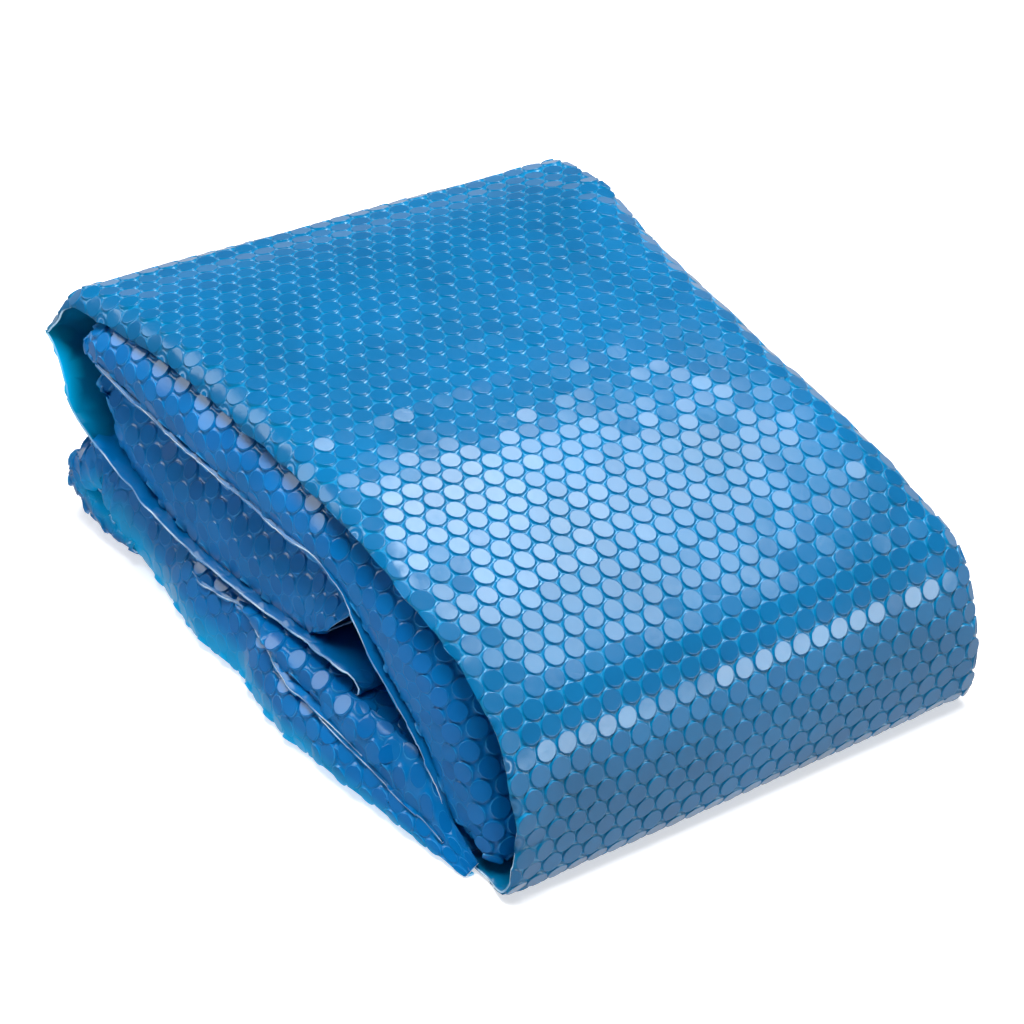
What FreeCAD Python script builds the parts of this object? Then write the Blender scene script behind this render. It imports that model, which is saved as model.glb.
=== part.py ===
# A folded pool bubble cover: one long blue sheet of bubble film, folded into a thick soft bundle.
# +Z is up, X runs along the folds, and the front fold faces -Y. The bundle rests on z = 0, and the
# origin is the centre of its bounding box's bottom. Millimetres.
#
# Outlines are (back, up) pairs: the distance behind the frontmost line of the bundle, and the height.
# The upper half swings open like a book about the middle of the front fold.
import FreeCAD, Part
import math
import os

LENGTH = 460.0          # front fold to the back loop, along Y
WIDTH = 336.0           # across the widest stretch of the lower half, along X
HEIGHT = 172.0
PLY = 6.0               # one ply: carrier film, bubbles and a little trapped air
SEAM = 0.6              # air between the two halves where they meet at the pivot

PIVOT = (14.0, HEIGHT / 2)      # middle of the front fold, on the outer ply
CURL_REACH = 98.5               # how far the upper half's front curl reaches from the pivot
LOWER_FRONT_REACH = CURL_REACH + 2.5    # the lower packs end outside that circle, so the curl swings clear

BASE_END = 402.0        # where the lowest ply ends, behind the front fold
SIDE_ROUND = 9.0        # rounding of a pack's side folds
SIDE_FOLD_LENGTH = 54.0         # edges that run further than this along a pack's side are its side folds

STATIONS = 24           # steps along a ply's outside line
CUBIC = 3               # degree of the packs' soft outlines
TOUCHING = 1e-6         # ends closer than this are one corner


def at(back, up, x=0.0):
    return FreeCAD.Vector(x, back - LENGTH / 2, up)


def curve(points):
    spline = Part.BSplineCurve()
    spline.interpolate([at(back, up) for back, up in points])
    return spline


def through(points):
    spline = Part.BSplineCurve()
    spline.interpolate(points)
    return spline.toShape()


def drawn(points):
    """An edge that starts and ends at the first and last points and is drawn towards the others."""
    spline = Part.BSplineCurve()
    spline.buildFromPoles([at(back, up) for back, up in points], False, CUBIC)
    return spline.toShape()


def beside(spline, first, last, inset):
    """Points along a curve from one parameter to another, moved inset to its left."""
    points = []
    for i in range(STATIONS + 1):
        parameter = first + (last - first) * i / STATIONS
        tangent = spline.tangent(parameter)[0]
        left = FreeCAD.Vector(0, -tangent.z, tangent.y)
        points.append(spline.value(parameter) + left * inset)
    return points


def section(edge_a, edge_b):
    """A flat face between two open edges that run roughly side by side."""
    a0, a1 = edge_a.firstVertex().Point, edge_a.lastVertex().Point
    b0, b1 = edge_b.firstVertex().Point, edge_b.lastVertex().Point
    if (a1 - b1).Length > (a1 - b0).Length:
        b0, b1 = b1, b0
    edges = [edge_a, edge_b]
    for start, end in ((a0, b0), (a1, b1)):
        if (start - end).Length > TOUCHING:
            edges.append(Part.makeLine(start, end))
    return Part.Face(Part.Wire(Part.__sortEdges__(edges)))


def plan(left, right):
    """A tall prism with curved left and right sides, each side a list of (back, x)."""
    sides = []
    for side in (left, right):
        points = [FreeCAD.Vector(x, back - LENGTH / 2, 0) for back, x in side]
        sides.append(through(points))
    outline = section(sides[0], sides[1])
    return outline.extrude(FreeCAD.Vector(0, 0, HEIGHT * 2))


def solid(face, prism):
    """The face swept right across the bundle, then trimmed to a plan outline."""
    swept = face.copy()
    swept.translate(FreeCAD.Vector(-WIDTH, 0, 0))
    swept = swept.extrude(FreeCAD.Vector(WIDTH * 2, 0, 0))
    return swept.common(prism).Solids[0]


def rounded(shape):
    """Round a pack's side folds: the long edges at its left and right."""
    middle = shape.BoundBox.Center.x
    halfway_out = shape.BoundBox.XLength / 4
    edges = []
    for edge in shape.Edges:
        box = edge.BoundBox
        along = box.YLength > SIDE_FOLD_LENGTH
        if along and abs(box.Center.x - middle) > halfway_out:
            edges.append(edge)
    return shape.makeFillet(SIDE_ROUND, edges)


# The outer ply's outside face: under the upper half from its inner end, round the back loop, over the
# top, and down the front fold to the floor. It is cut into nodes at the named points.
RETURN_END = (157, 52)
LOOP_START = (425, 76)
LOOP_END = (430, 160)
SHOULDER = (42, 110)
TOE = (34, 0.4)
WRAP_LINE = curve([
    RETURN_END, (209, 49), (289, 42), (351, 48), (393, 61), LOOP_START,
    (444, 95), (459.8, 120), (452, 145), LOOP_END,
    (381, 168.5), (318, 172), (256, 169), (181, 162), (132, 152), (85, 135), SHOULDER,
    (26, 99), PIVOT, (5, 70), (0.3, 48), (1, 26), (10, 10), TOE])

# Seen from above, each group's left and right sides as (back, x).
WRAP_PLAN = plan(
    [(0, -139), (120, -141), (300, -142), (460, -144)],
    [(0, 152), (120, 157), (300, 160), (460, 164)])
UPPER_PLAN = plan(
    [(10, -140), (150, -144), (300, -143), (455, -138)],
    [(10, 158), (150, 157), (300, 156), (455, 152)])
LOWER_PLAN = plan(
    [(60, -160), (195, -166), (330, -150), (460, -136)],
    [(60, 168), (195, 164), (330, 158), (460, 150)])


def ply(line, first, last, prism):
    """A single ply whose outside face follows a stretch of a line."""
    outside = through(beside(line, first, last, 0.0))
    inside = through(beside(line, first, last, PLY))
    return solid(section(outside, inside), prism)


def outer_ply(start, end, start_trim=0.0, end_trim=0.0):
    first = WRAP_LINE.parameterAtDistance(start_trim, WRAP_LINE.parameter(at(*start)))
    last = WRAP_LINE.parameterAtDistance(-end_trim, WRAP_LINE.parameter(at(*end)))
    return ply(WRAP_LINE, first, last, WRAP_PLAN)


def pack(top, bottom, prism):
    """A stack of plies between two soft outlines, cut square at the sides."""
    return solid(section(drawn(top), drawn(bottom)), prism)


def front_arc(radius, low, high):
    """Where a circle about the pivot lies between two heights, from the lower to the upper."""
    points = []
    for i in range(3):
        up = low + (high - low) * i / 2
        points.append((PIVOT[0] + math.sqrt(radius ** 2 - (PIVOT[1] - up) ** 2), up))
    return points


def lower_pack(top, bottom, prism):
    """A pack of the lower half: its front end follows the circle that the curl swings through."""
    arc = front_arc(LOWER_FRONT_REACH, bottom[0][1], top[0][1])
    front = Part.Arc(*[at(back, up) for back, up in arc]).toShape()
    upper = drawn([arc[2]] + top[1:])
    lower = drawn([arc[0]] + bottom[1:])
    back = Part.makeLine(at(*top[-1]), at(*bottom[-1]))
    face = Part.Face(Part.Wire(Part.__sortEdges__([front, upper, lower, back])))
    return solid(face, prism)


def base_ply():
    slab = Part.makeBox(WIDTH * 2, BASE_END - TOE[0], PLY, at(TOE[0], 0.0, -WIDTH))
    return slab.common(WRAP_PLAN).Solids[0]


def tucked_end():
    """The sheet's own cut end: a single ply that hangs out of the back between the two lower packs."""
    line = curve([(345, 23.5), (380, 24), (425, 21), (452, 14)])
    return ply(line, line.FirstParameter, line.LastParameter, LOWER_PLAN)


parts = {}

# Upper half.
parts["top_panel"] = outer_ply(LOOP_END, SHOULDER)
parts["outer_back_loop"] = outer_ply(LOOP_START, LOOP_END)
parts["return_panel"] = outer_ply(RETURN_END, LOOP_START)
parts["front_fold_upper"] = outer_ply(SHOULDER, PIVOT, end_trim=SEAM / 2)
parts["inner_top_panel"] = rounded(pack(
    [(414, 153), (356, 161), (306, 163), (256, 160), (181, 153), (109, 134)],
    [(414, 118), (366, 117), (306, 110), (243, 105), (190, 102), (150, 92)],
    UPPER_PLAN))
parts["inner_front_curl"] = pack(
    [(108, 133), (72, 118), (50, 92), (34, 56), (20, 22), (28, 7)],
    [(149, 91), (140, 72), (116, 58), (96, 38), (84, 20), (66, 7)],
    UPPER_PLAN)
parts["inner_back_loop"] = pack(
    [(415, 152.5), (432, 145), (445, 131), (448, 118), (437, 103), (418, 86)],
    [(415, 118), (420, 112), (417, 102), (415, 97)],
    UPPER_PLAN)
parts["inner_lower_panel"] = pack(
    [(414, 96), (380, 92), (345, 94), (305, 108), (250, 97), (208, 85), (160, 70)],
    [(414, 82), (393, 73), (351, 57.5), (289, 51), (209, 58), (158, 61)],
    UPPER_PLAN)

# Lower half.
parts["front_fold_lower"] = outer_ply(PIVOT, TOE, start_trim=SEAM / 2)
parts["base_ply"] = base_ply()
parts["lower_base_panel"] = lower_pack(
    [(0, 21.5), (180, 21.5), (330, 22), (408, 21.5)],
    [(0, 7), (180, 7), (330, 7), (408, 7)],
    LOWER_PLAN)
parts["lower_top_panel"] = lower_pack(
    [(0, 41), (157, 49), (209, 46.5), (289, 39.5), (351, 45), (393, 60), (408, 66)],
    [(0, 23), (180, 23), (300, 24), (345, 31), (408, 33)],
    LOWER_PLAN)
parts["lower_back_fold"] = pack(
    [(409, 66), (424, 70), (444, 56), (455, 40), (457, 33)],
    [(409, 33), (424, 32), (444, 29), (456.5, 26)],
    LOWER_PLAN)
parts["tucked_end"] = tucked_end()

os.makedirs("parts", exist_ok=True)
for name, shape in parts.items():
    shape.exportStep(f"parts/{name}.step")
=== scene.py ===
import math

import bpy
import numpy as np
from mathutils import Matrix, Vector


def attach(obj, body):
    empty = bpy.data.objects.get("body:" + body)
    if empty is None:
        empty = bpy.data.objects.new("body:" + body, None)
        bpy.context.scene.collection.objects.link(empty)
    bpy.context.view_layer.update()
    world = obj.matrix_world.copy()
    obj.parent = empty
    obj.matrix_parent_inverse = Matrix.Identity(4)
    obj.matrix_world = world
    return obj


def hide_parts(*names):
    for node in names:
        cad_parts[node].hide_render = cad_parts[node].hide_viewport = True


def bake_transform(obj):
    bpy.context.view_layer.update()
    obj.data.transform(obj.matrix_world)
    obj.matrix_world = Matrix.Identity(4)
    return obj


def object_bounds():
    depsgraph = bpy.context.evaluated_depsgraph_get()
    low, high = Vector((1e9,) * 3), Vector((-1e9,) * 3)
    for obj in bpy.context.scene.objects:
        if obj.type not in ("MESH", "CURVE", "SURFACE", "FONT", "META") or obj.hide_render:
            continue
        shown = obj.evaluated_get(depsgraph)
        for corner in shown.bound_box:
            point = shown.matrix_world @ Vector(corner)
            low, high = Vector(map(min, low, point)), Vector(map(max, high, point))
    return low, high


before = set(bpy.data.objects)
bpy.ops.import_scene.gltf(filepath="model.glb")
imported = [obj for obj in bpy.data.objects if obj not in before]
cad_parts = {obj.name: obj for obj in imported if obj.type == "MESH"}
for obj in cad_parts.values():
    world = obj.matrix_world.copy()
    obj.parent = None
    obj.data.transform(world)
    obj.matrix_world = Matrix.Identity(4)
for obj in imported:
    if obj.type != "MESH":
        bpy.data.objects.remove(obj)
cad_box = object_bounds()

MM = 0.001
FRONT = cad_box[0].y                    # the frontmost line of the bundle

PITCH = 0.0125                          # from bubble to bubble along a row
ROW = PITCH * math.sqrt(3) / 2          # from row to row
BACK_SPREAD = 0.009                     # how much wider the outer ply lies at the back
PLEATS = 0.0025                         # depth of the pleats at the lower half's back end
LAID_WANDER = 0.0008                    # height of the waves of a ply between packs
BUBBLE = 0.0011                         # height of a bubble over the carrier film
FILM = 0.0010                           # carrier film's visible thickness
SIDES = 12                              # corners of a bubble's ring
CUT_WANDER = 0.0010                     # how far a cut edge wanders
FRAY = 0.012                            # and over what length
FLOOR_GAP = 0.0001                      # the lowest film presses flat on the floor
SKEW = 0.030                            # how far forward the upper half's back end lies on its right side
SKEW_FROM = 0.300                       # the skew starts this far back
SKEW_RUN = 0.125                        # and is full this much further back
LEFT_SIDE = -0.143                      # the bundle's left side, where nothing is skewed
RIGHT_SIDE = 0.157                      # its right side, where the skew is full
TURN_DOWN = 1.45                        # radians that a margin turns down round its radius

# Bubbles differ at random: the spread on taut film, and what full slack adds to it.
SIZE_SPREAD = (0.008, 0.03)             # of the radius
TALL_SPREAD = (0.04, 0.25)              # of the height
LEAN_SPREAD = (0.008, 0.16)             # slope of the crown
DISH_SPREAD = (0.02, 0.2)               # share of the height that the crown's middle sinks
SHORTEST = 0.25                         # limits of a bubble's height, as shares of the usual one
TALLEST = 1.15
FLAT_LEAN = 0.15                        # share of the lean that bubbles without relief keep
MOST_STRETCH = 2.0                      # bubbles keep their size up to this stretch of the film

# Rings of a bubble from foot to crown: radius as a share of the pitch, height as a share of the bubble's, how
# much of the disc's tint the ring takes, and how much of it stays flat where the film bends.
FULL_RINGS = [(0.488, 0.06, 0.0, 0.3), (0.474, 0.75, 0.35, 0.8), (0.458, 1.0, 1.0, 1.0),
              (0.425, 1.0, 1.0, 1.0)]
PLAIN_RINGS = [(0.480, 0.10, 0.1, 0.3), (0.435, 1.0, 1.0, 1.0)]

# ---------------------------------------------------------------- lines and noise


class Path:
    """A smooth line in the plane x = 0 through (back, up) points, or (back, up, depth) points, in
    millimetres. back is measured from the frontmost line. The inward side is on the left of the line."""

    SAMPLES = 3000

    def __init__(self, points, skewed=0.0):
        self.skewed = skewed
        table = np.array(points, float) * MM
        if table.shape[1] == 2:
            table = np.column_stack([table, np.zeros(len(table))])
        knots = distances(table)
        fine = np.linspace(0.0, knots[-1], self.SAMPLES)
        self.table = np.column_stack([spline(knots, table[:, i], fine) for i in range(3)])
        self.s = distances(self.table)
        self.length = self.s[-1]
        slope = np.gradient(self.table[:, :2], self.s, axis=0)
        self.tangent = slope / np.linalg.norm(slope, axis=1)[:, None]

    def at(self, s):
        """back, up, depth and the inward normal's back and up at the distances s."""
        back, up, depth = (np.interp(s, self.s, self.table[:, i]) for i in range(3))
        over = s - np.clip(s, 0.0, self.length)
        tangent_back, tangent_up = (np.interp(s, self.s, self.tangent[:, i]) for i in range(2))
        return back + over * tangent_back, up + over * tangent_up, depth, -tangent_up, tangent_back

    def distance_at(self, back, up):
        gaps = np.hypot(self.table[:, 0] - back * MM, self.table[:, 1] - up * MM)
        return self.s[int(np.argmin(gaps))]


def distances(table):
    """Distance along a line to each of its points, in the plane of the first two coordinates."""
    chords = np.linalg.norm(np.diff(table[:, :2], axis=0), axis=1)
    return np.concatenate([[0.0], np.cumsum(chords)])


def spline(knots, values, fine):
    """Cubic curve through the values, with slopes averaged from the neighbouring chords."""
    chords = np.diff(values) / np.diff(knots)
    spans = np.diff(knots)
    slopes = np.empty(len(values))
    slopes[0] = chords[0]
    slopes[-1] = chords[-1]
    slopes[1:-1] = (chords[:-1] * spans[1:] + chords[1:] * spans[:-1]) / (spans[1:] + spans[:-1])
    i = np.clip(np.searchsorted(knots, fine, side="right") - 1, 0, len(spans) - 1)
    h = spans[i]
    t = (fine - knots[i]) / h
    return ((2 * t ** 3 - 3 * t ** 2 + 1) * values[i] + (t ** 3 - 2 * t ** 2 + t) * h * slopes[i]
            + (3 * t ** 2 - 2 * t ** 3) * values[i + 1] + (t ** 3 - t ** 2) * h * slopes[i + 1])


class Noise:
    """Smooth value noise from -1 to 1 with a cell of size metres."""

    CELLS = 128
    OFFSET_A = 37.3                     # keep the plies off the grid's own lines
    OFFSET_B = 51.7

    def __init__(self, seed, size):
        self.grid = np.random.default_rng(seed).uniform(-1, 1, (self.CELLS, self.CELLS))
        self.size = size

    def __call__(self, a, b):
        a = np.asarray(a) / self.size + self.OFFSET_A
        b = np.asarray(b) / self.size + self.OFFSET_B
        ia = np.floor(a).astype(int)
        ib = np.floor(b).astype(int)
        fa = a - ia
        fb = b - ib
        fa = fa * fa * fa * (fa * (fa * 6 - 15) + 10)
        fb = fb * fb * fb * (fb * (fb * 6 - 15) + 10)
        g = self.grid
        n = self.CELLS
        low = g[ia % n, ib % n] * (1 - fa) + g[(ia + 1) % n, ib % n] * fa
        high = g[ia % n, (ib + 1) % n] * (1 - fa) + g[(ia + 1) % n, (ib + 1) % n] * fa
        return low * (1 - fb) + high * fb


def steps(*pairs):
    """A function of back, in metres, through (back, value) pairs in millimetres."""
    backs = [pair[0] * MM for pair in pairs]
    values = [pair[1] * MM for pair in pairs]
    return lambda back: np.interp(back, backs, values)


def bump(x, middle, width):
    return np.exp(-((x - middle) / width) ** 2)


def ease(t):
    """From 0 to 1 with a gentle start and end."""
    return t * t * (3 - 2 * t)


def ramp(x, start, run):
    """From 0 at start to 1 at run further on."""
    return np.clip((x - start) / run, 0, 1)


# ---------------------------------------------------------------- bubble film meshes


def film_mesh(name, verts, faces, smooth, tint, walls):
    """A mesh with the film's looks at its corners. The last faces are the walls of the cut edges."""
    mesh = bpy.data.meshes.new(name)
    mesh.vertices.add(len(verts))
    mesh.vertices.foreach_set("co", verts.astype(np.float32).ravel())
    corners = np.concatenate([f.ravel() for f in faces])
    sizes = np.concatenate([np.full(len(f), f.shape[1]) for f in faces])
    mesh.loops.add(len(corners))
    mesh.loops.foreach_set("vertex_index", corners.astype(np.int32))
    mesh.polygons.add(len(sizes))
    starts = np.concatenate([[0], np.cumsum(sizes)[:-1]])
    mesh.polygons.foreach_set("loop_start", starts.astype(np.int32))
    smoothed = np.concatenate([np.full(len(f), s) for f, s in zip(faces, smooth)])
    mesh.polygons.foreach_set("use_smooth", smoothed)
    mesh.update(calc_edges=True)
    tint = tint[corners]
    # The cut edges' walls, which the material paints with glints.
    tint[-4 * walls:, 2] = 1
    colours = mesh.color_attributes.new("film", "FLOAT_COLOR", "CORNER")
    colours.data.foreach_set("color", tint.astype(np.float32).ravel())
    piece = bpy.data.objects.new(name, mesh)
    bpy.context.scene.collection.objects.link(piece)
    return piece


def half_width(columns):
    """Half the width of a film whose edges are cut through every other row's last bubbles."""
    return (columns / 2 - 0.25) * PITCH


def looks(relief, tint, glow, slack):
    """How raised bubbles are, how much the webs between them differ in tint, how much light comes through the
    film (a translucent share with painted glow) and how crushed the bubbles are, each from 0 to 1."""
    return np.column_stack(np.broadcast_arrays(relief, tint, glow, slack))


def bubble_sheet(name, shape, look, columns, rows, first_row=0, rings=FULL_RINGS, seed=1,
                 ends=(True, True)):
    """A closed sheet of bubble film, cut straight through every other row's last bubbles, and through the
    first and last rows where those are its ends. shape(u, v) gives the carrier film's points and look(u, v)
    its looks: u runs across from the middle, v along, both in metres of film."""
    rng = np.random.default_rng(seed)
    row = np.repeat(np.arange(first_row, first_row + rows), columns)
    column = np.tile(np.arange(columns), rows)
    centre_u = (column - (columns - 1) / 2 + (row % 2 - 0.5) * 0.5) * PITCH
    centre_v = (row + 0.5) * ROW
    count = len(row)
    fray = Noise(seed + 7, FRAY)
    half = half_width(columns)
    start = centre_v[0] - ROW / 3 if ends[0] else -math.inf
    stop = centre_v[-1] + ROW / 3 if ends[1] else math.inf

    def cut(u, v):
        """Points of the film's plane, brought inside its cut edges."""
        limit = half + CUT_WANDER * fray(v, np.sign(u))
        return np.clip(u, -limit, limit), np.clip(v, start, stop)

    angle = np.arange(SIDES) * 2 * math.pi / SIDES
    hexagon = np.where(np.arange(SIDES) % 2 == 0, 0.5, 1 / math.sqrt(3)) * PITCH

    # The film's plane at each cell. Where the ply's path stretches the film, bubbles keep their own size.
    step = PITCH / 4
    here = shape(centre_u, centre_v)
    tangent_u = (shape(centre_u + step, centre_v) - shape(centre_u - step, centre_v)) / (2 * step)
    tangent_v = (shape(centre_u, centre_v + step) - shape(centre_u, centre_v - step)) / (2 * step)
    shrink_u = 1 / np.clip(np.linalg.norm(tangent_u, axis=1), 1.0, MOST_STRETCH)
    shrink_v = 1 / np.clip(np.linalg.norm(tangent_v, axis=1), 1.0, MOST_STRETCH)
    upright = np.cross(tangent_v, tangent_u)
    upright /= np.linalg.norm(upright, axis=1)[:, None]

    relief, tinted, _, slack = look(centre_u, centre_v).T

    def spread(taut, loose):
        return rng.normal(0, 1, count) * (taut + loose * slack)

    size = 1 + spread(*SIZE_SPREAD)
    tall = np.clip(1 + spread(*TALL_SPREAD), SHORTEST, TALLEST)
    lean_u = spread(*LEAN_SPREAD)
    lean_v = spread(*LEAN_SPREAD)
    dish = np.abs(spread(*DISH_SPREAD))
    shade = rng.uniform(0, 1, count)
    height = BUBBLE * relief

    edge_u = centre_u[:, None] + hexagon * np.cos(angle)
    edge_v = centre_v[:, None] + hexagon * np.sin(angle)
    same = PITCH / 100
    keys = np.round(np.column_stack([edge_u.ravel(), edge_v.ravel()]) / same).astype(np.int64)
    _, first, edge_index = np.unique(keys, axis=0, return_index=True, return_inverse=True)
    edge_index = edge_index.reshape(count, SIDES)
    film_u = edge_u.ravel()[first]
    film_v = edge_v.ravel()[first]
    film_u, film_v = cut(film_u, film_v)
    film_count = len(film_u)
    small = PITCH / 20

    def on_film(u, v, lift):
        place = shape(u, v)
        normal = np.cross(shape(u, v + small) - place, shape(u + small, v) - place)
        normal /= np.linalg.norm(normal, axis=1)[:, None]
        return place + normal * lift[:, None], normal

    film, film_normal = on_film(film_u, film_v, np.zeros(film_count))
    points = [film]
    tints = [1 - look(film_u, film_v)[:, 1]]
    shades = [np.zeros(film_count)]
    glows = [look(film_u, film_v)[:, 2]]
    ring_index = []
    total = film_count
    for radius, rise, mask, flat in rings:
        a = radius * PITCH * np.cos(angle) * size[:, None]
        b = radius * PITCH * np.sin(angle) * size[:, None]
        u = centre_u[:, None] + a * shrink_u[:, None]
        v = centre_v[:, None] + b * shrink_v[:, None]
        u, v = cut(u, v)
        a = u - centre_u[:, None]
        b = v - centre_v[:, None]
        lean = (lean_u[:, None] * a + lean_v[:, None] * b) * (FLAT_LEAN + (1 - FLAT_LEAN) * relief[:, None])
        lift = rise * ((tall * height)[:, None] + lean)
        bent, _ = on_film(u.ravel(), v.ravel(), lift.ravel())
        glows.append(look(u.ravel(), v.ravel())[:, 2])
        plane = (here[:, None] + a[..., None] * tangent_u[:, None] + b[..., None] * tangent_v[:, None]
                 + lift[..., None] * upright[:, None])
        held = np.repeat(flat * (1 - slack), SIDES)[:, None]
        points.append(bent * (1 - held) + plane.reshape(-1, 3) * held)
        tints.append(np.repeat(1 - (1 - mask) * tinted, SIDES))
        shades.append(np.repeat(shade, SIDES))
        ring_index.append(np.arange(total, total + count * SIDES).reshape(count, SIDES))
        total += count * SIDES
    points.append(here + upright * (height * tall * (1 - dish))[:, None])
    tints.append(np.ones(count))
    shades.append(shade)
    glows.append(look(centre_u, centre_v)[:, 2])
    crown = np.arange(total, total + count)
    back_start = total + count
    verts = np.concatenate(points + [film - film_normal * FILM])
    verts[:, 2] = np.maximum(verts[:, 2], FLOOR_GAP)

    faces = []
    smooth = []
    loops = [edge_index] + ring_index
    for outer, inner in zip(loops[:-1], loops[1:]):
        quad = np.stack([outer, inner, np.roll(inner, -1, 1), np.roll(outer, -1, 1)], 2)
        faces.append(quad.reshape(-1, 4))
        smooth.append(True)
    top = ring_index[-1]
    fan = np.stack([top, np.repeat(crown[:, None], SIDES, 1), np.roll(top, -1, 1)], 2)
    faces.append(fan.reshape(-1, 3))
    smooth.append(True)
    faces.append(edge_index + back_start)
    smooth.append(True)

    # Walls close the cut edges: the sides of cells that no other cell shares.
    side_from = edge_index.ravel()
    side_to = np.roll(edge_index, -1, 1).ravel()
    scale = film_count + 1
    lone = ~np.isin(side_from * scale + side_to, side_to * scale + side_from)
    a = side_from[lone]
    b = side_to[lone]
    faces.append(np.stack([a, b, b + back_start, a + back_start], 1))
    smooth.append(False)

    tint = np.zeros((len(verts), 4))
    tint[:back_start, 3] = np.concatenate(glows)
    tint[back_start:, 3] = glows[0]
    tint[:back_start, 0] = np.concatenate(tints)
    tint[:back_start, 1] = np.concatenate(shades)
    return film_mesh(name, verts, faces, smooth, tint, len(a))


def plain_look(u, v):
    return looks(np.full(len(u), 0.8), 1.0, 0.0, 0.3)


def across(x):
    """The share of the way from the left side to the right."""
    return np.clip((x - LEFT_SIDE) / (RIGHT_SIDE - LEFT_SIDE), 0, 1.1)


def skew(x, back):
    """The upper half's back end is not square: its right side lies further forward."""
    return SKEW * across(x) * ease(ramp(back, SKEW_FROM, SKEW_RUN))


def rolled(beyond, radius):
    """Sideways reach and fall of film that turns down round a radius."""
    turn = np.clip(beyond / radius, 0, TURN_DOWN)
    rest = np.clip(beyond - radius * TURN_DOWN, 0, None)
    return (radius * np.sin(turn) + rest * math.cos(TURN_DOWN),
            radius * (1 - np.cos(turn)) + rest * math.sin(TURN_DOWN))


def laid_ply(path, left, right, columns, seed):
    """The shape of a ply with two free edges, laid along a path with slight waves."""
    width = (columns - 0.5) * PITCH
    slow = Noise(seed, 0.09)
    quick = Noise(seed + 1, 0.03)

    def shape(u, v):
        back, up, _, normal_back, normal_up = path.at(v)
        low = left(back)
        x = low + (u / width + 0.5) * (right(back) - low)
        push = LAID_WANDER * (slow(u, v) + 0.35 * quick(u, v))
        back = back + normal_back * push
        return np.column_stack([x, FRONT + back - skew(x, back) * path.skewed, up + normal_up * push])

    return shape


class Pack:
    """A ply over a pack of plies, folded down over the pack's left and right sides and under it. The path's
    depth is the pack's thickness there. On the left side, corner gives the top corner's radius at each back
    and recess how far the side's top stands back from its foot. On a side, share is 0 at the top and 1 at the
    foot."""

    RIGHT_CORNER = 0.028
    RIGHT_FOOT = 0.010
    MOST_CORNER = 0.75                  # of the depth
    PLEATED_FROM = 0.34                 # pleats start this far back
    PLEATED_RUN = 0.06
    THIN = 0.014                        # where the pack is no deeper than this, its side has no recess
    THINNING = 0.035                    # the recess is full when it is this much deeper
    RECESS_TO = 0.65                    # share of the side at which the recess ends
    SLACK = 0.24
    SLOW_CELL = 0.06                    # cells of the waves, the crumples and the pleats
    QUICK_CELL = 0.022
    PLEAT_CELL = 0.0075

    def __init__(self, path, left, right, corner, seed, foot=0.004, bulge=0.002, recess=0.0, wander=0.0012,
                 crumple=0.0006, pleats=0.0, glow=0.0):
        self.path = path
        self.left = left
        self.right = right
        self.corner = corner
        self.foot = foot
        self.bulge = bulge
        self.recess = recess
        self.wander = wander
        self.crumple = crumple
        self.pleats = pleats
        self.glow = glow
        self.slow = Noise(seed, self.SLOW_CELL)
        self.quick = Noise(seed + 1, self.QUICK_CELL)
        self.pleat = Noise(seed + 3, self.PLEAT_CELL)

    def section(self, u, v):
        back, up, depth, normal_back, normal_up = self.path.at(v)
        on_left = u < 0
        reach = np.where(on_left, -self.left(back), self.right(back))
        a = np.abs(u)
        radius = np.where(on_left, self.corner(back), self.RIGHT_CORNER)
        radius = np.minimum(radius, depth * self.MOST_CORNER)
        foot = np.minimum(np.where(on_left, self.foot, self.RIGHT_FOOT), depth - radius)
        flat = reach - radius
        quarter = math.pi / 2
        first = np.clip((a - flat) / radius, 0, quarter)
        a = a - radius * quarter
        drop = depth - radius - foot
        fall = np.clip(a - flat, 0, drop)
        second = np.clip((a - flat - drop) / foot, 0, quarter)
        under = np.clip(a - flat - drop - foot * quarter, 0, None)
        x = flat + np.minimum(np.abs(u) - flat, 0) + radius * np.sin(first)
        x = x - foot * (1 - np.cos(second)) - under
        w = radius * (1 - np.cos(first)) + fall + foot * np.sin(second)
        return back, up, depth, normal_back, normal_up, x, w, np.clip(w / depth, 0, 1)

    def pleated(self, back):
        return ramp(back, self.PLEATED_FROM, self.PLEATED_RUN) * self.pleats

    def __call__(self, u, v):
        back, up, depth, normal_back, normal_up, x, w, share = self.section(u, v)
        on_side = np.sin(math.pi * np.clip(share, 0, 1)) ** 0.7
        recess = np.where(u < 0, self.recess, 0) * ramp(depth, self.THIN, self.THINNING)
        folds = self.pleat(v + 0.15 * w, np.sign(u) * w * 0.2) * self.pleated(back)
        x = x + self.bulge * on_side - recess * ease(np.clip(1 - share / self.RECESS_TO, 0, 1))
        x = x + on_side * (self.wander * self.slow(w, v) + self.crumple * self.quick(w, v) + folds)
        rough = self.wander * self.slow(u, v) + self.crumple * on_side * self.quick(u + 0.3, v) + folds
        w = w + BUBBLE + rough * (0.4 + 0.6 * on_side)
        x = np.sign(u) * x
        back = back + normal_back * w
        return np.column_stack([x, FRONT + back - skew(x, back) * self.path.skewed, up + normal_up * w])

    def look(self, u, v):
        back, *_, share = self.section(u, v)
        pleated = self.pleated(back) / PLEATS
        relief = 1 - 0.88 * ramp(share, 0.30, 0.15)
        # Painted glow toward the side's foot, where floor light shows through the thin film.
        glow = self.glow * ramp(share, 0.45, 0.4) * (1 - 0.5 * pleated)
        return looks(relief, 1.0, glow, np.clip(self.SLACK + pleated, 0, 1))


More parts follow.
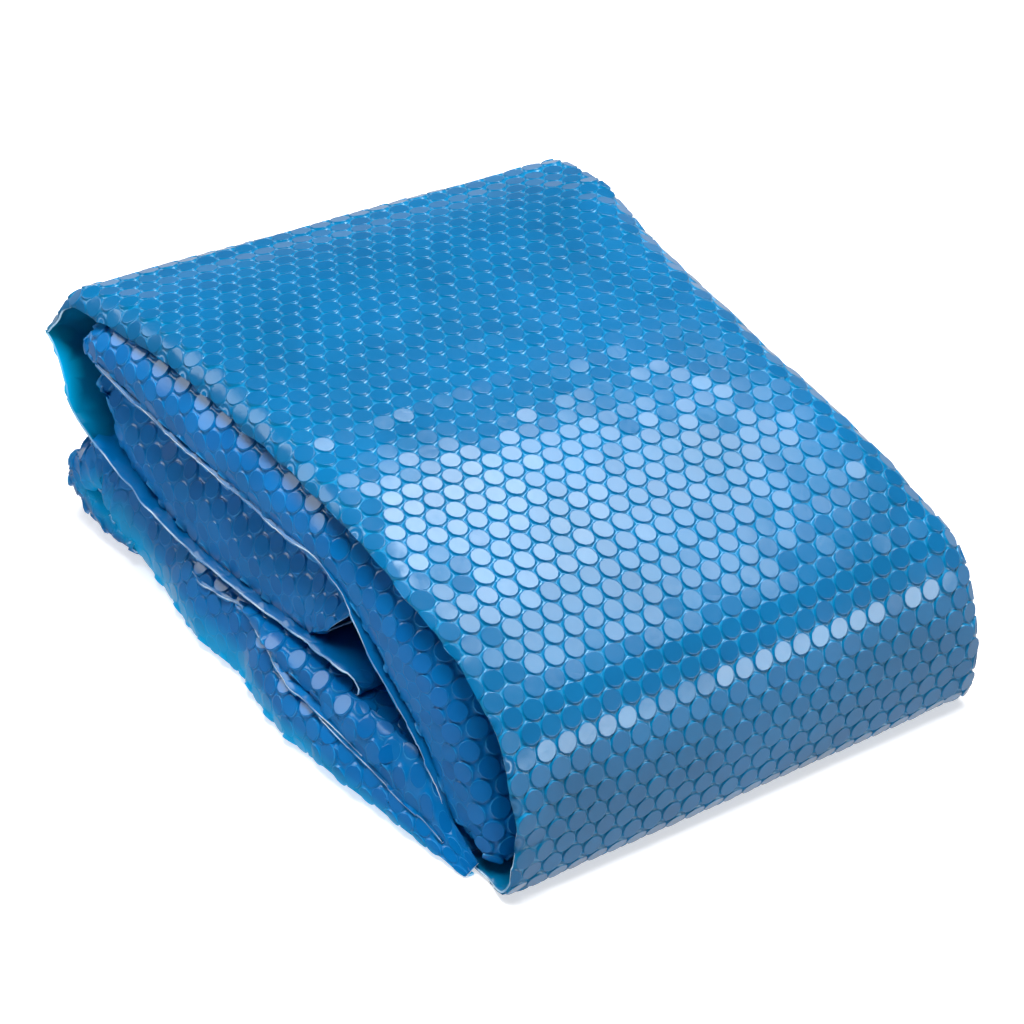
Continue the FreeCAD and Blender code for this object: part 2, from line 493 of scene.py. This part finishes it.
class Loft:
    """A narrow ply standing on its long edge: sections through (reach, up) points from foot to top, each at
    its own back, all in millimetres."""

    SAMPLES = 200
    RIPPLE = 0.0008

    def __init__(self, sections, width):
        backs = np.array([back for back, _ in sections], float)
        points = np.array([points for _, points in sections], float)
        knots = np.linspace(0.0, 1.0, points.shape[1])
        fine = np.linspace(0.0, 1.0, self.SAMPLES)
        rows = np.stack([[spline(knots, row[:, i], fine) for i in range(2)] for row in points])
        self.backs = np.linspace(backs[0], backs[-1], self.SAMPLES)
        place = (self.backs - backs[0]) / (backs[-1] - backs[0])
        stations = (backs - backs[0]) / (backs[-1] - backs[0])
        self.grid = np.array([[np.interp(place, stations, rows[:, i, j]) for j in range(self.SAMPLES)]
                              for i in range(2)]) * MM
        self.length = abs(backs[-1] - backs[0]) * MM
        self.width = width
        self.wave = Noise(7, 0.03)

    def at(self, i, t, s):
        """Coordinate i at the shares t across and s along, bilinear on the grid."""
        last = self.SAMPLES - 1.001     # so that the next line of the grid is always there
        t = np.clip(t, 0, 1) * last
        s = np.clip(s, 0, 1) * last
        a = t.astype(int)
        b = s.astype(int)
        ft = t - a
        fs = s - b
        g = self.grid[i]
        return ((g[a, b] * (1 - ft) + g[a + 1, b] * ft) * (1 - fs)
                + (g[a, b + 1] * (1 - ft) + g[a + 1, b + 1] * ft) * fs)

    def __call__(self, u, v):
        t = u / self.width + 0.5
        s = v / self.length
        back = (self.backs[0] + s * (self.backs[-1] - self.backs[0])) * MM
        x = -self.at(0, t, s) + self.RIPPLE * self.wave(u, v)
        return np.column_stack([x, FRONT + back, self.at(1, t, s)])

    def look(self, u, v):
        t = u / self.width + 0.5
        # Painted glow along the foot edge, for light showing through the thin film.
        return looks(0.2 + 0.6 * bump(t, 0.35, 0.12), 1.0, 0.9 * np.clip(1 - t / 0.35, 0, 1), 0.35)


# ---------------------------------------------------------------- film material


def node(tree, kind, **settings):
    """A shader node. A setting that starts with in_ sets the input of that name."""
    made = tree.nodes.new(kind)
    for key, value in settings.items():
        if key.startswith("in_"):
            made.inputs[key[3:].replace("_", " ")].default_value = value
        else:
            setattr(made, key, value)
    return made


def map_range(tree, value, low, high, to_low, to_high):
    """A socket's value, mapped from low..high to to_low..to_high."""
    made = node(tree, "ShaderNodeMapRange", in_From_Min=low, in_From_Max=high, in_To_Min=to_low,
                in_To_Max=to_high)
    tree.links.new(value, made.inputs["Value"])
    return made.outputs[0]


def noise(tree, place, scale, detail, rough=0.5):
    made = node(tree, "ShaderNodeTexNoise", in_Scale=scale, in_Detail=detail, in_Roughness=rough)
    tree.links.new(place, made.inputs["Vector"])
    return made.outputs["Fac"]


def mix_colour(tree, factor, a, b, blend="MIX"):
    made = node(tree, "ShaderNodeMix", data_type="RGBA", blend_type=blend)
    link_or_set(tree, made.inputs[0], factor)
    link_or_set(tree, made.inputs[6], a)
    link_or_set(tree, made.inputs[7], b)
    return made.outputs[2]


def maths(tree, operation, a, b=0.0):
    made = node(tree, "ShaderNodeMath", operation=operation)
    link_or_set(tree, made.inputs[0], a)
    link_or_set(tree, made.inputs[1], b)
    return made.outputs[0]


def link_or_set(tree, socket, value):
    if isinstance(value, bpy.types.NodeSocket):
        tree.links.new(value, socket)
    else:
        socket.default_value = value


def film_material(name, disc, web, ring, deep, rough):
    """Glossy translucent film: discs, webs between them, and a paler line round each disc, partly its own
    tint and partly painted highlight. The mesh's film attribute gives the disc share, a shade per bubble, the
    cut edges, which get painted glints, and how much light comes through, shown partly as painted glow."""
    material = bpy.data.materials.new(name)
    material.use_nodes = True
    tree = material.node_tree
    tree.nodes.clear()
    out = node(tree, "ShaderNodeOutputMaterial")
    place = node(tree, "ShaderNodeTexCoord").outputs["Object"]
    film = node(tree, "ShaderNodeAttribute", attribute_name="film", attribute_type="GEOMETRY")
    parts = node(tree, "ShaderNodeSeparateColor")
    tree.links.new(film.outputs["Color"], parts.inputs[0])
    mask, shade, edge = parts.outputs
    glow = film.outputs["Alpha"]

    clouds = noise(tree, place, 14.0, 3.0)
    grain = noise(tree, place, 240.0, 4.0, 0.6)
    flecks = noise(tree, place, 130.0, 1.0)
    glints = noise(tree, place, 45.0, 2.0)
    creases = node(tree, "ShaderNodeTexVoronoi", feature="DISTANCE_TO_EDGE", in_Scale=70.0)
    tree.links.new(place, creases.inputs["Vector"])

    # Colour: a shade per bubble, the webs, the broken line round each disc (its own tint with painted
    # highlight), clouds, painted glow for light through, painted glints on cut edges.
    body = mix_colour(tree, maths(tree, "MULTIPLY", shade, 0.6), (*disc, 1), (*deep, 1))
    body = mix_colour(tree, mask, (*web, 1), body)
    # The paler line round each disc, broken into crescents by flecks: partly the rim's own tint, partly
    # painted highlight where rims catch light.
    rim_tint_and_sheen_line = node(tree, "ShaderNodeValToRGB")
    rim_tint_and_sheen_line.color_ramp.elements[0].position = 0.12
    rim_tint_and_sheen_line.color_ramp.elements[0].color = (0, 0, 0, 1)
    rim_tint_and_sheen_line.color_ramp.elements[1].position = 0.85
    rim_tint_and_sheen_line.color_ramp.elements[1].color = (0, 0, 0, 1)
    peak = rim_tint_and_sheen_line.color_ramp.elements.new(0.4)
    peak.color = (0.8, 0.8, 0.8, 1)
    tree.links.new(mask, rim_tint_and_sheen_line.inputs[0])
    fleck = map_range(tree, flecks, 0.42, 0.60, 0.35, 1.0)
    body = mix_colour(tree, maths(tree, "MULTIPLY", rim_tint_and_sheen_line.outputs[0], fleck), body, (*ring, 1))
    tone = map_range(tree, clouds, 0.3, 0.7, 0.86, 1.12)
    body = mix_colour(tree, 1.0, body, tone, "MULTIPLY")
    # Painted glow: the base colour turns paler cyan where light would come through the film.
    body = mix_colour(tree, maths(tree, "MULTIPLY", glow, 0.8), body, (0.0, 0.36, 0.62, 1))
    # Painted glints: the cut edges turn pale, broken by noise, where film edges catch light.
    glint = map_range(tree, glints, 0.42, 0.62, 0.25, 1.0)
    body = mix_colour(tree, maths(tree, "MULTIPLY", edge, glint), body, (0.62, 0.84, 1.0, 1))

    # Fine relief: grain and puckers.
    roughness = map_range(tree, grain, 0.3, 0.7, rough * 0.75, rough * 1.3)
    pucker = map_range(tree, creases.outputs["Distance"], 0.0, 0.05, 0.0, 1.0)
    relief = maths(tree, "ADD", maths(tree, "MULTIPLY", grain, 0.7), maths(tree, "MULTIPLY", pucker, 0.2))
    dimple = node(tree, "ShaderNodeBump", in_Strength=0.12, in_Distance=0.0002)
    tree.links.new(relief, dimple.inputs["Height"])

    surface = node(tree, "ShaderNodeBsdfPrincipled", in_IOR=1.5)
    surface.inputs["Specular IOR Level"].default_value = 0.7
    surface.inputs["Specular Tint"].default_value = (0.74, 0.86, 0.92, 1.0)
    surface.inputs["Coat Weight"].default_value = 0.45
    surface.inputs["Coat Roughness"].default_value = 0.36
    # Painted glow: emission stands in for light coming through the thin film; the translucent mix below is
    # the real share of it.
    surface.inputs["Emission Color"].default_value = (0.0, 0.48, 0.72, 1.0)
    tree.links.new(maths(tree, "MULTIPLY", glow, 0.75), surface.inputs["Emission Strength"])
    tree.links.new(body, surface.inputs["Base Color"])
    tree.links.new(roughness, surface.inputs["Roughness"])
    tree.links.new(dimple.outputs[0], surface.inputs["Normal"])
    through = node(tree, "ShaderNodeBsdfTranslucent", in_Color=(0.0, 0.62, 0.95, 1))
    tree.links.new(dimple.outputs[0], through.inputs["Normal"])
    blend = node(tree, "ShaderNodeMixShader")
    tree.links.new(map_range(tree, glow, 0.0, 1.0, 0.06, 0.6), blend.inputs[0])
    tree.links.new(surface.outputs[0], blend.inputs[1])
    tree.links.new(through.outputs[0], blend.inputs[2])
    tree.links.new(blend.outputs[0], out.inputs[0])
    return material


# ring: colour of the paler line round each disc, partly the rim's own tint and partly painted highlight.
OUTER_FILM = film_material("outer_film", disc=(0.0, 0.13, 0.315), web=(0.0, 0.19, 0.41),
                           ring=(0.0, 0.25, 0.50), deep=(0.0, 0.10, 0.265), rough=0.12)
INNER_FILM = film_material("inner_film", disc=(0.0, 0.165, 0.48), web=(0.0, 0.17, 0.49),
                           ring=(0.04, 0.38, 0.74), deep=(0.0, 0.115, 0.39), rough=0.13)

# ---------------------------------------------------------------- the plies

WRAP_START = 178.0                      # chosen so that a row of bubbles faces the front light
# The outer ply: under the upper half, round its back, over the top, down the front fold and along the floor.
WRAP = Path([(WRAP_START, 48), (158, 48.5), (149, 50), (146, 53.5), (149, 57), (157, 58), (209, 55),
             (262, 53), (310, 53), (351, 58), (380, 66), (418, 73.5), (431, 78), (439, 85), (442, 95),
             (447, 106), (455, 113.5), (461, 120), (458.5, 127), (447, 143), (436, 156), (427, 161),
             (412, 164), (381, 168.5), (318, 172), (256, 169), (181, 162), (132, 152), (85, 135), (42, 110),
             (26, 99), (14, 86), (5, 70), (0.3, 48), (1, 26), (3, 14), (8, 5.5), (17, 1.4), (34, 0.6),
             (80, 0.4), (200, 0.4), (402, 0.4)], skewed=1.0)
WRAP_COLUMNS = 25
WRAP_EDGE = -half_width(WRAP_COLUMNS)   # the ply's left cut edge
WRAP_OFFSET = 0.0045                    # the ply's middle lies this far right of the bundle's

# Along the wrap: where its left margin starts to turn down and round what radius, the same on the right, and
# how far the ply lies to the side.
WRAP_MARGINS = [((157, 48.5), -143, 6, 150, 20, 4), ((157, 58), -146, 6, 150, 20, 0),
                ((380, 66), -146, 6, 152, 20, 0), ((431, 78), -142, 8, 153, 14, 1),
                ((461, 120), -138, 10, 154, 12, 2), ((436, 156), -133, 13, 154, 12, 0.5),
                ((412, 164), -131, 13, 154, 14, 0), ((381, 168.5), -130, 13, 152, 20, 0),
                ((345, 171.5), -130, 13, 148, 26, 0), ((313, 172), -130, 13, 136, 30, 0),
                ((280, 170.5), -130, 13, 128, 30, 0), ((220, 166.5), -131, 13, 123, 30, 0),
                ((170, 160), -136, 12, 119, 30, 0), ((132, 152), -141, 10, 121, 30, 0),
                ((98, 140.8), -145, 8, 125, 30, 0), ((88, 136), -143, 7, 127, 30, 1.5),
                ((73, 129), -141, 6, 130, 30, 3.5), ((58, 120), -139, 6, 132, 30, 5),
                ((39, 108), -140, 6, 138, 30, 5), ((19, 92), -141, 6, 142, 30, 4),
                ((5.7, 71.6), -144, 6, 143, 30, 1), ((0.3, 36.4), -144, 6, 144, 30, 1),
                ((8, 5.5), -148, 8, 148, 20, -1.5), ((34, 0.6), -143, 8, 150, 20, 3),
                ((80, 0.4), -142, 8, 150, 20, 5), ((240, 0.4), -142, 8, 150, 20, 5),
                ((320, 0.4), -132, 8, 150, 20, 15), ((402, 0.4), -124, 8, 150, 20, 24)]
MARGIN_V = np.array([WRAP.distance_at(*spot) for spot, *_ in WRAP_MARGINS])
MARGINS = np.array([row[1:] for row in WRAP_MARGINS]) * MM
LOOP_TOP = WRAP.distance_at(427, 161)
SKEW_END = WRAP.distance_at(300, 171.5)

EVEN_MIDDLE = 0.006                     # the ply lies even on both sides of this line
EVEN_HALF = 0.115                       # up to here, and is crumpled beyond
CRUMPLED_RUN = 0.03                     # fully crumpled this much further out
SLOW_WAVE = 0.0005                      # heights of the waves
QUICK_WAVE = 0.00012
MARGIN_WAVE = 0.0006
EDGE_WAVE = 0.0011
CREASE_ALONG = 0.005                    # a crease's half width
CREASE_ACROSS = 0.08                    # and half length
WAVE_SLOW = Noise(11, 0.10)
WAVE_QUICK = Noise(12, 0.028)
WAVE_EDGE = Noise(13, 0.011)
CREASES = [(WRAP.distance_at(back, up), depth * MM, middle * MM)
           for back, up, depth, middle in ((200, 164.5, 0.5, -60), (216, 166, 0.5, -40), (232, 167.5, 0.4, 0),
                                           (188, 163, 0.35, 40), (404, 166, 0.5, 0), (396, 167, 0.4, 40),
                                           (62, 122, 0.6, 60), (22, 95, 0.5, 20))]


def wrap_margins(u, v):
    """Sideways place on the bundle, and how far beyond the start of each margin's turn, with the turn's
    radius."""
    left, left_radius, right, right_radius, shift = (np.interp(v, MARGIN_V, column) for column in MARGINS.T)
    f = u + WRAP_OFFSET + shift
    return f, np.clip(left - f, 0, None), left_radius, np.clip(f - right, 0, None), right_radius


def wrap_waves(x, v):
    """Slack of the outer ply: slow waves, shallow creases along the rows and crumpled margins."""
    edge = ramp(np.abs(x - EVEN_MIDDLE), EVEN_HALF, CRUMPLED_RUN)
    waves = SLOW_WAVE * WAVE_SLOW(x, v) + QUICK_WAVE * WAVE_QUICK(x, v)
    waves = waves + edge * (MARGIN_WAVE * WAVE_QUICK(x + 0.2, v) + EDGE_WAVE * WAVE_EDGE(x, v))
    for place, depth, middle in CREASES:
        waves = waves + depth * bump(v, place, CREASE_ALONG) * bump(x, middle, CREASE_ACROSS)
    return waves


def wrap_shape(u, v):
    """The outer ply's carrier film."""
    f, beyond_left, left_radius, beyond_right, right_radius = wrap_margins(u, v)
    left_reach, left_fall = rolled(beyond_left, left_radius)
    right_reach, right_fall = rolled(beyond_right, right_radius)
    x = f + beyond_left - left_reach - beyond_right + right_reach
    # On the right the film turns into the loop sooner, by as much as the back end is skewed there.
    turned = ease(ramp(v, SKEW_END, LOOP_TOP - SKEW_END))
    s = v - SKEW * across(x) * turned
    back, up, _, normal_back, normal_up = WRAP.at(s)
    push = BUBBLE + left_fall + right_fall + wrap_waves(x, v)
    back = back + normal_back * push
    x = x + BACK_SPREAD * np.clip(x / 0.150, 0, 1.1) * turned
    return np.column_stack([x, FRONT + back - skew(x, back), up + normal_up * push])


def wrap_look(u, v):
    """Flatter bubbles where the margins turn down, slack ones at the left edge, and light through the back
    loop's rim, shown partly as painted glow."""
    _, beyond_left, _, beyond_right, _ = wrap_margins(u, v)
    back, up, *_ = WRAP.at(v)
    turning = np.clip(beyond_left / 0.003, 0, 1)
    near = 1 - ramp(u, WRAP_EDGE, 0.02)
    rim = 1 - ramp(u, WRAP_EDGE, 0.011)
    relief = 1 - 0.9 * turning - 0.4 * ramp(beyond_right, 0.012, 0.010)
    glow = rim * bump(back, 0.445, 0.022) * bump(up, 0.100, 0.022)
    return looks(relief, 1 - 0.8 * turning, glow, 0.03 + 0.42 * near * (up > 0.02))


TOP_LEFT = steps((10, -142), (60, -143), (100, -145), (160, -148), (400, -147), (420, -143))
UPPER_LEFT = steps((10, -142), (60, -143), (150, -142), (300, -141), (420, -138))
UPPER_RIGHT = steps((10, 152), (60, 150), (150, 144), (300, 145), (380, 152), (455, 156))
LOWER_LEFT = steps((90, -155), (117, -155), (142, -159), (188, -162), (209, -159), (228, -155), (248, -150),
                   (296, -150), (317, -146), (337, -140), (357, -137), (409, -140), (460, -141))
WEDGE_LEFT = steps((95, -152), (150, -154), (209, -154), (245, -150))
LOWER_RIGHT = steps((60, 160), (195, 160), (330, 155), (460, 150))

TOP_PACK = Path([(398, 126, 6), (412, 128, 8), (419, 136, 14), (414, 146, 20), (400, 152, 24),
                 (356, 158, 33), (306, 160, 37), (256, 157, 36), (206, 152, 35), (157, 145, 34),
                 (120, 136, 43), (90, 123, 53), (72, 109, 54), (58, 93, 52), (46, 72, 46), (34, 45, 40),
                 (25, 24, 34), (27, 10, 24), (36, 3.5, 10)], skewed=1.0)
TOP_PACK_CORNER = steps((30, 8), (43, 12), (73, 22), (95, 28), (204, 28), (290, 25), (420, 20))
SMALL_CORNER = steps((0, 6), (460, 6))
LOWER_CORNER = steps((0, 7), (460, 8))
TOP_PACK_UNDERSIDE = Path([(45, 6), (60, 14), (78, 43), (104, 65), (129, 86), (147, 107), (163, 118),
                           (208, 119), (256, 121.5), (313, 122.5), (347, 125), (383, 128), (405, 131)],
                          skewed=1.0)
LOW_PACK = Path([(418, 104, 6), (412, 114, 18), (398, 117, 28), (383, 115, 40), (347, 112, 50),
                 (313, 109, 54), (256, 108, 53), (208, 105, 48), (180, 102, 43), (163, 94, 34),
                 (155, 87, 27)], skewed=1.0)
# The upper plies of the lower half, over the lower ones.
WEDGE = Path([(250, 50, 2), (209, 52, 14), (166, 51, 18), (149, 48, 19), (118, 44, 21), (101, 38, 17),
              (95, 28, 8)])
LOWER_PACK = Path([(380, 6, 9), (424, 7, 18), (443, 11, 22), (453, 19, 24), (458, 28, 26), (453, 40, 26),
                   (438, 56, 28), (420, 68, 34), (400, 69, 46), (375, 62, 54), (352, 53, 50), (328, 48, 46),
                   (298, 47, 45), (262, 47, 45), (238, 45, 43), (209, 37, 35), (166, 32, 30), (138, 26, 24),
                   (119, 22, 20), (98, 18, 15), (90, 11, 7)])
LOWER_MIDDLE = Path([(96, 20), (138, 27), (166, 33), (209, 38), (238, 44), (300, 40), (400, 36), (448, 26)])

# One more folded edge beside the front curl, which sticks out level: (back, reach, up) along its edge.
CREASE_INSIDE = 18                      # how far inside the edge it starts
CREASE_MIDDLE = 8
CREASE_ARCH = 0.2                       # and how far it arches up in the middle
CREASE_EDGE = ((165, 158.2, 30), (135, 157.6, 25), (112, 156.6, 21), (92, 156.6, 18), (76, 155, 15),
               (62, 154, 10), (46, 152.6, 5.5))
CREASE = Loft([(back, ((reach - CREASE_INSIDE, up), (reach - CREASE_MIDDLE, up + CREASE_ARCH), (reach, up)))
               for back, reach, up in CREASE_EDGE], width=0.01875)

# The lower plies' folded left sides, which run on forward beside the front curl: reach and height from the
# foot up to the top.
SIDE_FOLD = Loft([(165, ((155, 0.5), (162, 6), (162.5, 17), (156.5, 30), (156, 38), (149, 47), (144, 48))),
                  (135, ((155, 0.5), (161.5, 5), (162, 14), (156, 25), (156, 35), (148.5, 46), (143, 47))),
                  (112, ((153, 0.5), (158.5, 4), (159.5, 12), (155, 21), (155, 33), (148, 45), (143, 46))),
                  (92, ((153, 0.5), (158, 4), (159, 10), (155, 18), (154.5, 30), (147.5, 43), (144, 44))),
                  (76, ((152, 0.5), (156.5, 3), (157.5, 8), (153.5, 15), (153, 26), (147, 37), (145, 38))),
                  (62, ((151, 0.5), (154.5, 2), (156, 5), (152.5, 10), (151, 15), (147, 19), (145, 20))),
                  (46, ((149, 0.5), (153, 1.2), (154.5, 3), (151.5, 5.5), (149.5, 8), (147, 10), (145, 11))),
                  (32, ((147, 0.3), (150, 0.6), (152, 1.2), (150, 2.2), (148.5, 3), (146.5, 4), (145, 4.5)))],
                 width=0.060)


def rows_in(length):
    """How many whole rows of bubbles fit in a length of film."""
    return int(length / ROW)


def film_piece(piece, body, nodes, material):
    """Gives a piece its material, sets it on a body or leaves it unattached, and hides the model's parts that
    it stands for.
    """
    piece.data.materials.append(material)
    if body is None:
        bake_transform(piece)
    else:
        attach(piece, body)
    if nodes:
        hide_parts(*nodes)
    return piece


RETURN_ROWS = rows_in(WRAP.distance_at(418, 73.5))
TOE_ROWS = rows_in(WRAP.distance_at(60, 0.4))
BASE_ROWS = rows_in(WRAP.length)


def wrap_piece(name, first, last, rings, body, nodes, material, ends):
    """A stretch of the outer ply, from its first row to its last."""
    rows = last - first
    piece = bubble_sheet(name, wrap_shape, wrap_look, WRAP_COLUMNS, rows, first, rings, first + 3, ends)
    return film_piece(piece, body, nodes, material)


wrap_piece("outer_ply", RETURN_ROWS, TOE_ROWS, FULL_RINGS, None,
           ["top_panel", "outer_back_loop", "front_fold_upper", "front_fold_lower"], OUTER_FILM,
           ends=(False, False))
wrap_piece("return_ply", 0, RETURN_ROWS, PLAIN_RINGS, "upper_half", ["return_panel"], INNER_FILM,
           ends=(True, False))
wrap_piece("base_sheet", TOE_ROWS, BASE_ROWS, PLAIN_RINGS, "lower_half", ["base_ply"], INNER_FILM,
           ends=(False, True))


def pack_piece(name, pack, columns, body, nodes, seed):
    rows = rows_in(pack.path.length)
    piece = bubble_sheet(name, pack, pack.look, columns, rows, 0, FULL_RINGS, seed)
    return film_piece(piece, body, nodes, INNER_FILM)


pack_piece("top_pack_ply",
           Pack(TOP_PACK, TOP_LEFT, UPPER_RIGHT, TOP_PACK_CORNER, 21, bulge=0.003),
           columns=35, body="upper_half", nodes=["inner_top_panel", "inner_front_curl", "inner_back_loop"],
           seed=21)
pack_piece("low_pack_ply",
           Pack(LOW_PACK, UPPER_LEFT, UPPER_RIGHT, SMALL_CORNER, 31, foot=0.002, recess=0.013),
           columns=32, body="upper_half", nodes=["inner_lower_panel"], seed=31)
pack_piece("wedge_ply",
           Pack(WEDGE, WEDGE_LEFT, LOWER_RIGHT, SMALL_CORNER, 41, foot=0.002, recess=0.005),
           columns=30, body="lower_half", nodes=["lower_top_panel"], seed=41)
pack_piece("lower_pack_ply",
           Pack(LOWER_PACK, LOWER_LEFT, LOWER_RIGHT, LOWER_CORNER, 51, recess=0.005, pleats=PLEATS, glow=0.5),
           columns=32, body="lower_half", nodes=["lower_base_panel", "lower_back_fold"], seed=51)


def loft_piece(name, loft, columns, seed):
    rows = rows_in(loft.length)
    piece = bubble_sheet(name, loft, loft.look, columns, rows, 0, FULL_RINGS, seed)
    return film_piece(piece, "lower_half", [], INNER_FILM)


loft_piece("side_fold_ply", SIDE_FOLD, columns=5, seed=81)
loft_piece("side_crease_ply", CREASE, columns=2, seed=91)


def edge_ply(name, path, left, right, columns, body, nodes, proud, seed):
    """A ply between packs: only its cut edges show, a little proud of the packs' sides and wavy."""
    wave = Noise(seed, 0.014)

    def ragged_left(back):
        return left(back) - proud - CUT_WANDER * wave(back, 0.0)

    def ragged_right(back):
        return right(back) + proud * 0.5 + CUT_WANDER * wave(back, 0.1)

    shape = laid_ply(path, ragged_left, ragged_right, columns, seed)
    rows = rows_in(path.length)
    piece = bubble_sheet(name, shape, plain_look, columns, rows, 0, PLAIN_RINGS, seed)
    return film_piece(piece, body, nodes, INNER_FILM)


edge_ply("top_pack_underside", TOP_PACK_UNDERSIDE, TOP_LEFT, UPPER_RIGHT, columns=24, body="upper_half",
         nodes=[], proud=0.0032, seed=61)
edge_ply("tucked_end_ply", LOWER_MIDDLE, LOWER_LEFT, LOWER_RIGHT, columns=25, body="lower_half",
         nodes=["tucked_end"], proud=-0.0015, seed=71)

# ---------------------------------------------------------------- floor, light and camera


def floor_material(name, colour, rough, lit):
    material = bpy.data.materials.new(name)
    material.use_nodes = True
    surface = material.node_tree.nodes["Principled BSDF"]
    surface.inputs["Base Color"].default_value = (*colour, 1)
    surface.inputs["Roughness"].default_value = rough
    surface.inputs["Emission Color"].default_value = (1, 1, 1, 1)
    surface.inputs["Emission Strength"].default_value = lit
    return material


def floor():
    mesh = bpy.data.meshes.new("floor")
    reach = 8.0
    corners = [(-reach, -reach, 0), (reach, -reach, 0), (reach, reach, 0), (-reach, reach, 0)]
    mesh.from_pydata(corners, [], [(0, 1, 2, 3)])
    piece = bpy.data.objects.new("floor", mesh)
    bpy.context.scene.collection.objects.link(piece)
    piece.data.materials.append(floor_material("floor_white", (0.60, 0.60, 0.61), 0.7, 0.62))
    piece.visible_glossy = False


def softbox(name, place, towards, size, power, mirrored=True, lights=True):
    """A rectangular light at a place, facing towards a point. mirrored: it shows as a highlight on the film.
    lights: it also lights matt surfaces."""
    data = bpy.data.lights.new(name, "AREA")
    data.shape = "RECTANGLE"
    data.size = size[0]
    data.size_y = size[1]
    data.energy = power
    lamp = bpy.data.objects.new(name, data)
    lamp.location = place
    lamp.rotation_euler = (Vector(towards) - Vector(place)).to_track_quat("-Z", "Y").to_euler()
    lamp.visible_glossy = mirrored
    lamp.visible_diffuse = lights
    bpy.context.scene.collection.objects.link(lamp)


def studio():
    """A dim room whose right side is bright near the horizon, and soft lights."""
    world = bpy.data.worlds.new("studio")
    world.use_nodes = True
    tree = world.node_tree
    direction = node(tree, "ShaderNodeTexCoord").outputs["Generated"]
    split = node(tree, "ShaderNodeSeparateXYZ")
    tree.links.new(direction, split.inputs[0])
    sky = node(tree, "ShaderNodeValToRGB")
    tree.links.new(map_range(tree, split.outputs["Z"], -1.0, 1.0, 0.0, 1.0), sky.inputs[0])
    stops = [(0.0, 0.72), (0.40, 0.72), (0.50, 0.7), (0.56, 0.45), (0.62, 0.05), (0.86, 0.05), (1.0, 0.5)]
    elements = sky.color_ramp.elements
    while len(elements) < len(stops):
        elements.new(0.5)
    for element, (position, level) in zip(elements, stops):
        element.position = position
        element.color = (level, level, level, 1)
    side = map_range(tree, split.outputs["X"], -0.35, 0.35, 0.10, 1.0)
    background = tree.nodes["Background"]
    background.inputs["Strength"].default_value = 1.0
    light = mix_colour(tree, 1.0, sky.outputs[0], side, "MULTIPLY")
    tree.links.new(light, background.inputs["Color"])
    bpy.context.scene.world = world
    softbox("right_softbox", (0.78, 0.115, 1.5), (0.78, 0.115, 0.0), (0.44, 1.47), 11.0)
    softbox("right_inner_softbox", (0.66, 0.28, 1.49), (0.66, 0.28, 0.0), (0.20, 1.15), 2.2)
    softbox("overhead", (-0.2, -0.3, 3.0), (0.0, 0.0, 0.0), (1.8, 1.8), 150.0, mirrored=False)
    softbox("front_strip", (0.97, -1.84, 0.73), (0.0, -0.22, 0.08), (1.8, 0.26), 10.0, lights=False)
    softbox("front_glow", (0.99, -1.87, 0.75), (0.0, -0.22, 0.08), (1.8, 1.0), 3.5, lights=False)
    softbox("back_left_softbox", (-0.95, 1.45, 1.20), (0.0, 0.0, 0.1), (1.2, 0.9), 9.5)


def camera():
    """A long lens at the bundle's front left, looking down on it."""
    azimuth = math.radians(-35.55)
    elevation = math.radians(32.46)
    level = math.cos(elevation)
    back = Vector((math.sin(azimuth) * level, -math.cos(azimuth) * level, math.sin(elevation)))
    right = Vector((math.cos(azimuth), math.sin(azimuth), 0))
    up = back.cross(right)
    data = bpy.data.cameras.new("camera")
    data.sensor_width = 36.0
    data.lens = 150.0
    data.clip_end = 50.0
    eye = bpy.data.objects.new("camera", data)
    turn = Matrix((right, up, back)).transposed().to_4x4()
    eye.matrix_world = Matrix.Translation((-1.1406, -1.6154, 1.3224)) @ turn
    bpy.context.scene.collection.objects.link(eye)
    bpy.context.scene.camera = eye


floor()
studio()
camera()
bpy.context.scene.view_settings.view_transform = "Standard"
